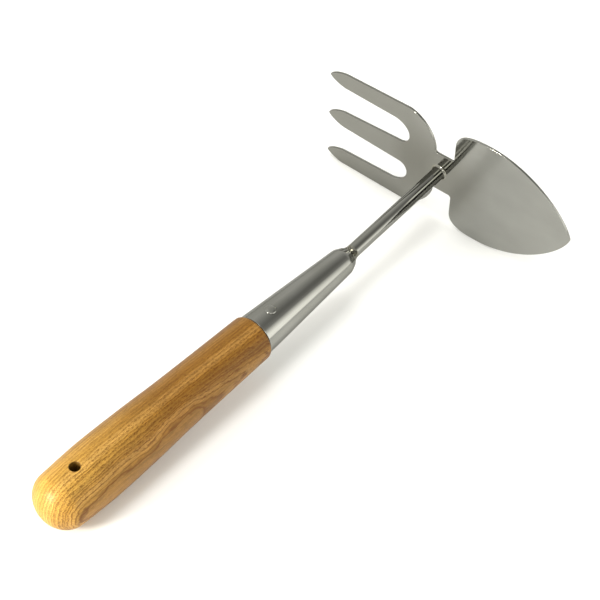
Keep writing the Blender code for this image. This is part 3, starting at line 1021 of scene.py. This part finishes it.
def shank():
    tail = -SHANK_LONG - SOCKET_FLOOR - SHANK_TAIL
    outline = [(tail, 0.0), (tail, SHANK_R - SHANK_CHAMFER), (tail + SHANK_CHAMFER, SHANK_R)]
    outline += [(-GAP, SHANK_R), (-GAP, 0.0)]
    return turned("drawn_shank", outline, sides=96, finish=bar_finish, place=tool)


hand_over(shank(), "shank_rod")

# %% [markdown]
# ## The welds
#
# Weld metal joins the shank to the ferrule's end and to the plate. Both welds are ground and
# polished until they flow into the steel beside them, so their outlines are hollow curves that
# end almost level with it. Each is a ring, turned on the lathe.

# %% Ground weld metal
WELD_EDGE = 0.04 * MM
WELD_SEAT = 0.02 * MM
WELD_SIDES = 96
# Grinding leaves short scratches that run every way, so a weld mirrors the room a little blurred.
weld_finish = polished_steel(
    "stainless_weld_ground",
    colours=("#97968E", "#8B897C"),
    roughness=(0.11, 0.15),
    place=tool,
    lay_mm=(1.6, 1.6, 1.6),
    cloud_mm=(4.0, 3.0, 3.0),
    depth_mm=0.001,
)

# %% Weld at the ferrule's end
NECK_WELD_LONG = 5.9 * MM
NECK_WELD_HOLLOW = 1.8
NECK_WELD_STEPS = 24


def neck_weld():
    """Its back is centred on the ferrule's end and parallel to it, its front on the shank."""
    inner = SHANK_R + WELD_SEAT
    back = -SHANK_LONG + WELD_SEAT
    drop = SOCKET_LAND - WELD_SEAT - WELD_EDGE
    outline = [(back, inner)]
    for i in range(NECK_WELD_STEPS + 1):
        t = i / NECK_WELD_STEPS
        high = drop * (1.0 - t) ** NECK_WELD_HOLLOW
        outline.append((back + NECK_WELD_LONG * t, inner + WELD_EDGE + high))
    outline.append((back + NECK_WELD_LONG, inner))
    weld = turned("neck_weld", outline, WELD_SIDES, weld_finish, Matrix.Identity(4), ring=True)
    slope = math.tan(SET_ANGLE)
    for v in weld.data.vertices:
        on_surface = math.hypot(v.co.y, v.co.z) > inner + 0.5 * WELD_EDGE
        share = 1.0 - (v.co.x - back) / NECK_WELD_LONG
        v.co.x += share * slope * v.co.y
        if on_surface:
            v.co.y -= share * slope * SET_POINT
    weld.data.transform(tool)
    return weld


hand_over(neck_weld(), "socket_weld")

# %% Weld at the plate
HEAD_WELD_WIDE = 1.3 * MM
HEAD_WELD_HIGH = 1.7 * MM


def plate_weld():
    inner = SHANK_R + WELD_SEAT
    reach = HEAD_WELD_HIGH - WELD_SEAT
    spread = HEAD_WELD_WIDE - WELD_EDGE
    corner = (-HEAD_WELD_HIGH, inner + HEAD_WELD_WIDE)
    outline = [(-WELD_SEAT, inner)] + superarc(corner, (reach, 0.0), (0.0, -spread), steps=14)
    outline.append((-HEAD_WELD_HIGH, inner))
    return turned("plate_weld", outline, WELD_SIDES, weld_finish, tool, ring=True)


hand_over(plate_weld(), "head_weld")

# %% [markdown]
# ## The rivet
#
# One soft rivet goes through ferrule and tenon, and its two heads are peened to low domes, then
# ground nearly flat with the ferrule, so each has a wide even top and a tight round rim. The
# whole pin is one turned outline, mirrored about the grip's line.

# %% Rivet
# The rivet's line lies this far in front of the ferrule's mouth, and is turned this far.
RIVET = 12.4 * MM
RIVET_TURN = math.radians(3.5)
RIVET_R = 2.0 * MM
RIVET_HEAD_R = 3.2 * MM
RIVET_HEAD_HIGH = 1.1 * MM
RIVET_HEAD_CURVE = 2.3
# The hammer's fine dents stay in a peened head, so its mirror image is cloudy.
rivet_finish = polished_steel(
    "stainless_rivet_peened",
    colours=("#999994", "#8D8D86"),
    roughness=(0.11, 0.17),
    place=tool,
    lay_mm=(1.0, 1.0, 1.0),
    cloud_mm=(2.0, 2.0, 2.0),
    depth_mm=0.002,
)


def rivet():
    seat = socket_outside(socket_mouth - RIVET)
    head_top = (RIVET_HEAD_HIGH, 0.0)
    head = superarc((seat, 0.0), (0.0, RIVET_HEAD_R), head_top, steps=18, power=RIVET_HEAD_CURVE)
    half = [(seat, RIVET_R)] + head[:-1] + [(seat + RIVET_HEAD_HIGH, 0.0)]
    outline = [(-x, r) for x, r in reversed(half)] + half
    turn = Matrix.Rotation(RIVET_TURN, 4, "X") @ Matrix.Rotation(-0.5 * math.pi, 4, "Y")
    place = grip_line @ Matrix.Translation((-socket_mouth + RIVET, 0.0, 0.0)) @ turn
    return turned("peened_rivet", outline, sides=64, finish=rivet_finish, place=place)


hand_over(rivet(), "socket_rivet")

# %% [markdown]
# ## The head plate
#
# Fork, neck and blade are one piece of sheet, stamped out and bent a little at the neck so that
# the blade leans away from the grip. The outline is drawn once for one half and mirrored.
# Polished sheet shows every facet, so the plate is cut into narrow cells before it is bent, and
# its rim is rounded as tumbling leaves it.

# %% Polished sheet
# The plate darkens to this colour. Round the shank's foot it is the weld's heat tint, deepened with
# painted shade for the shank's shadow that the plate mirrors. Over the fork it is painted shade for
# the dimmer floor that the fork mirrors.
HEAT_TINT_AND_SHADE_STEEL = "#7D7C75"
# In mm from the shank's line, and in mm along the fork.
HEAT_TINT_AND_SHADE_PATCH = (36.0, 12.0, 0.0, 0.7)
PAINTED_FORK_SHADE = (2.0, 24.0, 0.0, 0.58)


def heat_tint_and_painted_shade(tree):
    """Painted shade on the plate, as a share of a darker colour. The fork's face is darker, for the
    dimmer floor that it mirrors. Round the shank's foot the weld's heat tint is deepened with
    painted shade for the shank's shadow that the plate mirrors."""
    in_mm = {0: pattern_space(tree, tool, (1.0, 1.0, 1.0))}
    y, z = add(tree, "ShaderNodeSeparateXYZ", in_mm).outputs[1:]
    across = add(tree, "ShaderNodeCombineXYZ", {"Y": y, "Z": z}).outputs[0]
    from_shank = add(tree, "ShaderNodeVectorMath", {0: across}, operation="LENGTH").outputs["Value"]
    both = {0: stepped(tree, from_shank, *HEAT_TINT_AND_SHADE_PATCH), 1: stepped(tree, y, *PAINTED_FORK_SHADE)}
    return add(tree, "ShaderNodeMath", both, operation="ADD").outputs[0], HEAT_TINT_AND_SHADE_STEEL


# Rolled sheet is flat and even, so it mirrors broad parts of the room, and its polishing lines,
# which run from fork to blade, only just show.
sheet_finish = polished_steel(
    "stainless_sheet_polished",
    colours=("#9D9D98", "#979792"),
    roughness=(0.08, 0.12),
    place=tool,
    lay_mm=(2.0, 30.0, 0.5),
    cloud_mm=(20.0, 24.0, 14.0),
    depth_mm=0.0003,
    # Heat tint and painted shade, on the fork and round the shank's foot.
    tint_and_shade=heat_tint_and_painted_shade,
)

# %% Blade and neck outline
BLADE_BACK = 9.1 * MM
BLADE_BACK_HALF = 25.0 * MM
BLADE_SHOULDER = 20.5 * MM
BLADE_SHOULDER_CURVE = 2.7
BLADE_HALF = 37.15 * MM
BLADE_POINT = 57.7 * MM
BLADE_CURVE_ALONG = 1.9
BLADE_CURVE_ACROSS = 1.35
NECK_HALF = 13.5 * MM
NECK_ROUND = 1.8 * MM
FORK_BACK = 4.0 * MM

neck_edge = NECK_HALF + NECK_ROUND


def blade_half():
    """Points (along, aside) from the blade's point, round its widest place, to its back."""
    middle = (BLADE_BACK + BLADE_SHOULDER, 0.0)
    curve = {"power": BLADE_CURVE_ALONG, "power_b": BLADE_CURVE_ACROSS}
    edge = superarc(middle, (BLADE_POINT, 0.0), (0.0, BLADE_HALF), steps=48, **curve)
    corner = (middle[0], BLADE_BACK_HALF)
    aside = (0.0, BLADE_HALF - BLADE_BACK_HALF)
    back = (-BLADE_SHOULDER, 0.0)
    shoulder = superarc(corner, aside, back, steps=24, power=BLADE_SHOULDER_CURVE)
    return edge + shoulder[1:]


def neck_half():
    """Two small arcs, where the neck meets the blade's back and the fork's."""
    inward = (0.0, -NECK_ROUND)
    blade_corner = (BLADE_BACK - NECK_ROUND, neck_edge)
    fork_corner = (NECK_ROUND - FORK_BACK, neck_edge)
    at_blade = superarc(blade_corner, (NECK_ROUND, 0.0), inward, steps=8)
    return at_blade + superarc(fork_corner, inward, (-NECK_ROUND, 0.0), steps=8)


print("blade and neck:", len(blade_half() + neck_half()), "points on one half")

# %% Fork outline
FORK_SHOULDER = 20.0 * MM
FORK_SHOULDER_CURVE = 1.72
SLOT_END = 22.2 * MM
SLOT_MIDDLE = 14.0 * MM
SLOT_OUTER_LONG = 11.8 * MM
TINE_REACH = 79.7 * MM
TINE_POINT = 11.7 * MM
TINE_POINT_CURVE = 1.45
TINE_PITCH = 29.45 * MM
TINE_ROOT_HALF = 6.1 * MM
TINE_POINT_HALF = 5.2 * MM
MIDDLE_ROOT_HALF = 7.8 * MM
MIDDLE_POINT_HALF = 5.9 * MM


def tine_point(centre, half_wide):
    """The far and the near side of a tine's point, with the tip in the far one alone."""
    start = (TINE_POINT - TINE_REACH, centre)
    tip = (-TINE_POINT, 0.0)
    far = superarc(start, (0.0, half_wide), tip, steps=14, power=TINE_POINT_CURVE)
    near = superarc(start, tip, (0.0, -half_wide), steps=14, power=TINE_POINT_CURVE)
    return far, near[1:]


def fork_half():
    """Points from the fork's shoulder, round the outer tine, to the middle tine's tip."""
    corner = (-FORK_BACK - FORK_SHOULDER, neck_edge)
    rise = (0.0, TINE_PITCH + TINE_ROOT_HALF - neck_edge)
    half = superarc(corner, (FORK_SHOULDER, 0.0), rise, steps=30, power=FORK_SHOULDER_CURVE)[1:]
    far, near = tine_point(TINE_PITCH, TINE_POINT_HALF)
    half += far + near
    outer_half = (0.0, TINE_PITCH - TINE_ROOT_HALF - SLOT_MIDDLE)
    outer_start = (-SLOT_END - SLOT_OUTER_LONG, SLOT_MIDDLE)
    half += superarc(outer_start, outer_half, (SLOT_OUTER_LONG, 0.0), steps=18)
    inner_r = SLOT_MIDDLE - MIDDLE_ROOT_HALF
    inner_start = (-SLOT_END - inner_r, SLOT_MIDDLE)
    half += superarc(inner_start, (inner_r, 0.0), (0.0, -inner_r), steps=14)[1:]
    return half + tine_point(0.0, MIDDLE_POINT_HALF)[0]


def plate_outline():
    half = blade_half() + neck_half() + fork_half()
    return half + [(along, -aside) for along, aside in reversed(half[1:-1])]


print("the whole outline:", len(plate_outline()), "points")

# %% The plate's blank
PLATE_THICK = 1.5 * MM
PLATE_EDGE = 0.25 * MM
CELL = 2.0 * MM
# A point this near a cut counts as on it.
ON_CUT = 0.0001 * MM


def sheet_blank():
    """The outline as a flat slab, with a rounded rim."""
    bm = bmesh.new()
    front = bm.faces.new([bm.verts.new((0.0, -along, aside)) for along, aside in plate_outline()])
    grown = bmesh.ops.extrude_face_region(bm, geom=[front])
    for v in grown["geom"]:
        if isinstance(v, bmesh.types.BMVert):
            v.co.x = PLATE_THICK
    bmesh.ops.recalc_face_normals(bm, faces=bm.faces)
    rims = [e for e in bm.edges if e.verts[0].co.x == e.verts[1].co.x]
    rounding = {"offset_type": "OFFSET", "segments": 3, "profile": 0.5, "affect": "EDGES"}
    bmesh.ops.bevel(bm, geom=rims, offset=PLATE_EDGE, **rounding)
    return bm


def cut_in_cells(bm):
    """Cut the slab at every cell, from blade to fork and from side to side."""
    cuts = [
        (Vector((0.0, 1.0, 0.0)), -BLADE_BACK - BLADE_SHOULDER - BLADE_POINT, TINE_REACH),
        (Vector((0.0, 0.0, 1.0)), -BLADE_HALF, BLADE_HALF),
    ]
    for normal, low, high in cuts:
        for i in range(1, int((high - low) / CELL)):
            every = bm.verts[:] + bm.edges[:] + bm.faces[:]
            on_plane = normal * (low + CELL * i)
            bmesh.ops.bisect_plane(bm, geom=every, plane_co=on_plane, plane_no=normal, dist=ON_CUT)


blank = sheet_blank()
cut_in_cells(blank)
print("the blank has", len(blank.faces), "faces")

# %% Bend and dress the plate
BLADE_BEND = 5.0 * MM
BLADE_BEND_LONG = 16.0 * MM
BLADE_TILT = math.radians(1.4)
# A face whose normal has more than this of X is flat. Edges are sharp only where the flat ends.
FLAT_FROM = 0.9999


def set_back(along):
    """How far the blade leans away from the grip: not before the bend, then more and more over
    its length, and straight on after it."""
    reach = max(0.0, along - BLADE_BEND)
    bent = min(reach, BLADE_BEND_LONG)
    return math.tan(BLADE_TILT) * (0.5 * bent * bent / BLADE_BEND_LONG + reach - bent)


def head_plate(bm):
    for face in bm.faces:
        face.smooth = True
    for edge in bm.edges:
        flat = [abs(face.normal.x) > FLAT_FROM for face in edge.link_faces]
        edge.smooth = flat[0] == flat[-1]
    for v in bm.verts:
        v.co.x += set_back(-v.co.y)
    plate = new_object("stamped_plate", bm)
    plate.data.transform(tool)
    plate.data.materials.append(sheet_finish)
    return plate


hand_over(head_plate(blank), "hoe_rake_head")
